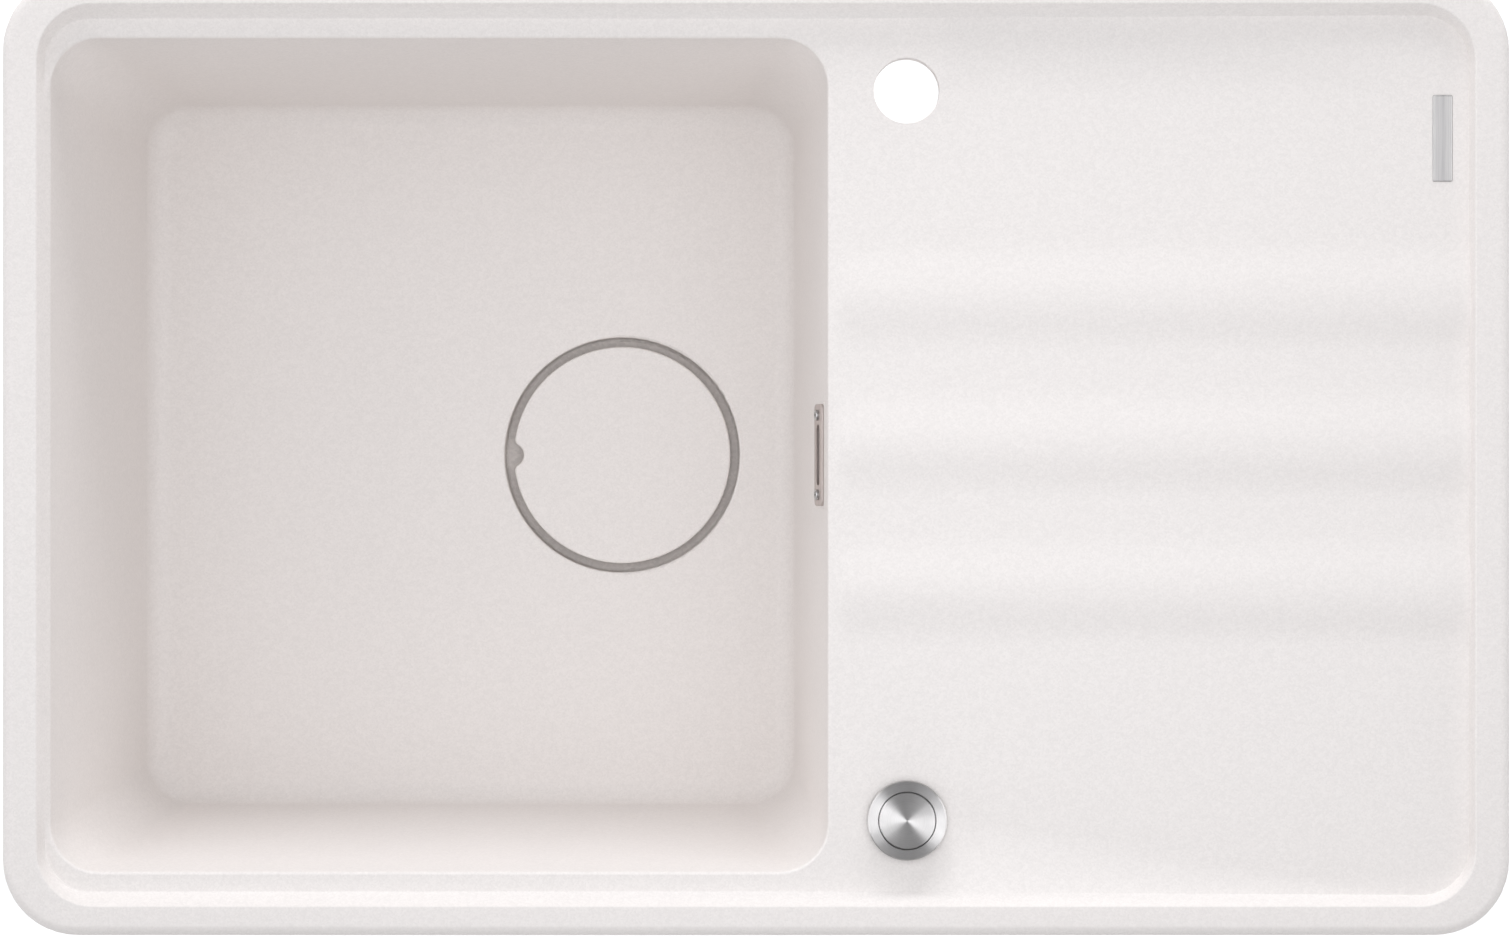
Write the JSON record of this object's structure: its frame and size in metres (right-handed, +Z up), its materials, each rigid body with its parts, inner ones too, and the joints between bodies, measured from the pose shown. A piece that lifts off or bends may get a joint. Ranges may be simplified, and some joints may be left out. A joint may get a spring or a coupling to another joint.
{
  "type": "kitchen sink",
  "caption": "Inset granite kitchen sink with a deep bowl, a ridged drainer, a tap hole, an overflow and a push-button pop-up waste under a stone drain cover.",
  "frame": {"origin": "middle of the sink's plan on the worktop plane, which is the underside of the rim", "axes": "+X along the length towards the drainer, +Y towards the back where the tap stands, +Z up"},
  "size_m": [0.8, 0.51, 0.3205],
  "materials": {
    "granite": "matt moulded granite",
    "steel": "brushed",
    "rubber": "matt",
    "white_plastic": "moulded",
    "grey_plastic": "moulded"
  },
  "bodies": {
    "sink": {"sink_body": "granite", "badge_plate": "steel", "overflow_cover": "steel", "overflow_screws": "steel", "button_bezel": "steel", "strainer_cup": "steel", "clamp_screw": "steel", "fixing_clips": "steel", "clip_screws": "steel", "button_spring": "steel", "cup_gasket": "rubber", "drain_gasket": "rubber", "spindle_o_ring": "rubber", "overflow_gasket": "rubber", "pipe_seal_upper": "rubber", "pipe_seal_lower": "rubber", "bezel_gasket": "rubber", "drain_body": "white_plastic", "overflow_elbow": "white_plastic", "overflow_pipe": "white_plastic", "control_housing": "white_plastic", "pipe_nut_upper": "grey_plastic", "pipe_nut_lower": "grey_plastic", "spindle_gland_nut": "grey_plastic", "cable_gland": "grey_plastic", "housing_gland": "grey_plastic", "bezel_nut": "grey_plastic", "bezel_washer": "grey_plastic"},
    "cover": {"drain_cover": "granite", "cover_feet": "rubber"},
    "button": {"button_cap": "steel", "button_plunger": "grey_plastic"},
    "plug": {"basket": "steel", "basket_seal": "rubber", "basket_knob": "steel", "lift_pin": "steel"},
    "crank": {"crank_spindle": "grey_plastic", "crank_arm": "grey_plastic"}
  },
  "joints": [
    {"name": "cover_lift", "type": "slide", "parent": "sink", "child": "cover", "axis": [0, 0, 1], "range_m": [0, 0.24]},
    {"name": "button_press", "type": "slide", "parent": "sink", "child": "button", "axis": [0, 0, -1], "range_m": [0, 0.008], "stiffness_N_per_m": 800, "deforming": ["button_spring"]},
    {"name": "plug_lift", "type": "slide", "parent": "sink", "child": "plug", "axis": [0, 0, 1], "range_m": [0, 0.008]},
    {"name": "crank_turn", "type": "hinge", "parent": "sink", "child": "crank", "pos_m": [-0.06405, 0, -0.2595], "axis": [0, 1, 0], "range_deg": [0, 28.96]}
  ],
  "couplings": [
    {"joint": "plug_lift", "follows": "button_press", "ratio": 1},
    {"joint": "crank_turn", "follows": "button_press", "rad_per_m": 63.17}
  ]
}
